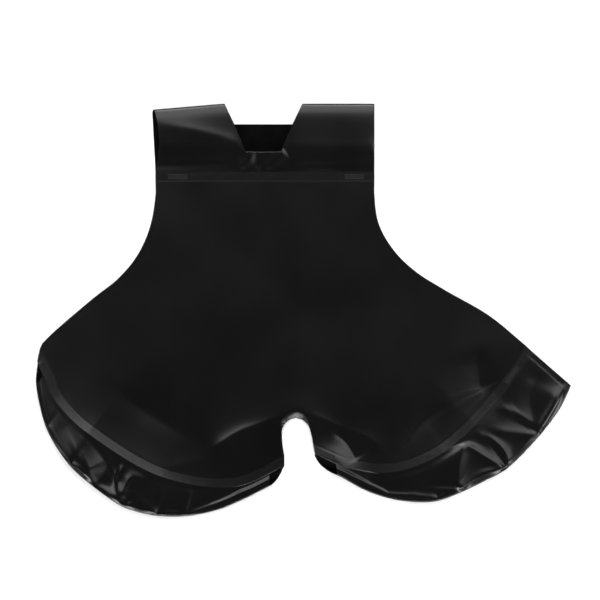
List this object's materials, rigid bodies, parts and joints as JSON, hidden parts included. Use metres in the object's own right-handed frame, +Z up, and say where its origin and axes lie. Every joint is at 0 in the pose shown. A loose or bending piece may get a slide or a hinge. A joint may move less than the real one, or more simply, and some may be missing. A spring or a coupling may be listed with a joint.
{
  "type": "harness seat protector",
  "caption": "Black coated-sheet seat protector for a harness, with a notched waist sleeve and curved welded leg-loop sleeves.",
  "frame": {"origin": "centre of the footprint, on the surface that the sheet lies on", "axes": "+Y points to the waist sleeve and +X to the right leg as seen from above; +Z is up, out of the outer side, which faces away from the wearer"},
  "size_m": [0.6421, 0.4946, 0.022],
  "materials": {
    "coated_sheet": "semi-gloss coated fabric, black",
    "welded_seam": "pressed glossier than the sheet, black",
    "pressed_mark": "matte, finely ribbed, black"
  },
  "bodies": {
    "seat": {"seat_panel": "coated_sheet"},
    "waist": {"waist_sleeve_top": "coated_sheet", "waist_sleeve_bottom": "coated_sheet", "waist_weld_seam": "welded_seam", "waist_mark_left": "pressed_mark", "waist_mark_right": "pressed_mark"},
    "left_leg": {"left_leg_panel": "coated_sheet", "left_leg_sleeve_top": "coated_sheet", "left_leg_sleeve_bottom": "coated_sheet", "left_leg_weld_seam": "welded_seam"},
    "right_leg": {"right_leg_panel": "coated_sheet", "right_leg_sleeve_top": "coated_sheet", "right_leg_sleeve_bottom": "coated_sheet", "right_leg_weld_seam": "welded_seam", "right_leg_mark_inner": "pressed_mark", "right_leg_mark_outer": "pressed_mark"}
  },
  "joints": [
    {"name": "waist_fold", "type": "hinge", "parent": "seat", "child": "waist", "pos_m": [-0.04625, 0.1539, 0.00045], "axis": [1, 0, 0], "range_deg": [0, 90]},
    {"name": "left_leg_fold", "type": "hinge", "parent": "seat", "child": "left_leg", "pos_m": [-0.1705, -0.0955, 0.00045], "axis": [-0.9616, 0.2743, 0], "range_deg": [0, 80]},
    {"name": "right_leg_fold", "type": "hinge", "parent": "seat", "child": "right_leg", "pos_m": [0.131, -0.0845, 0.00045], "axis": [-0.9272, -0.3746, 0], "range_deg": [0, 80]}
  ]
}
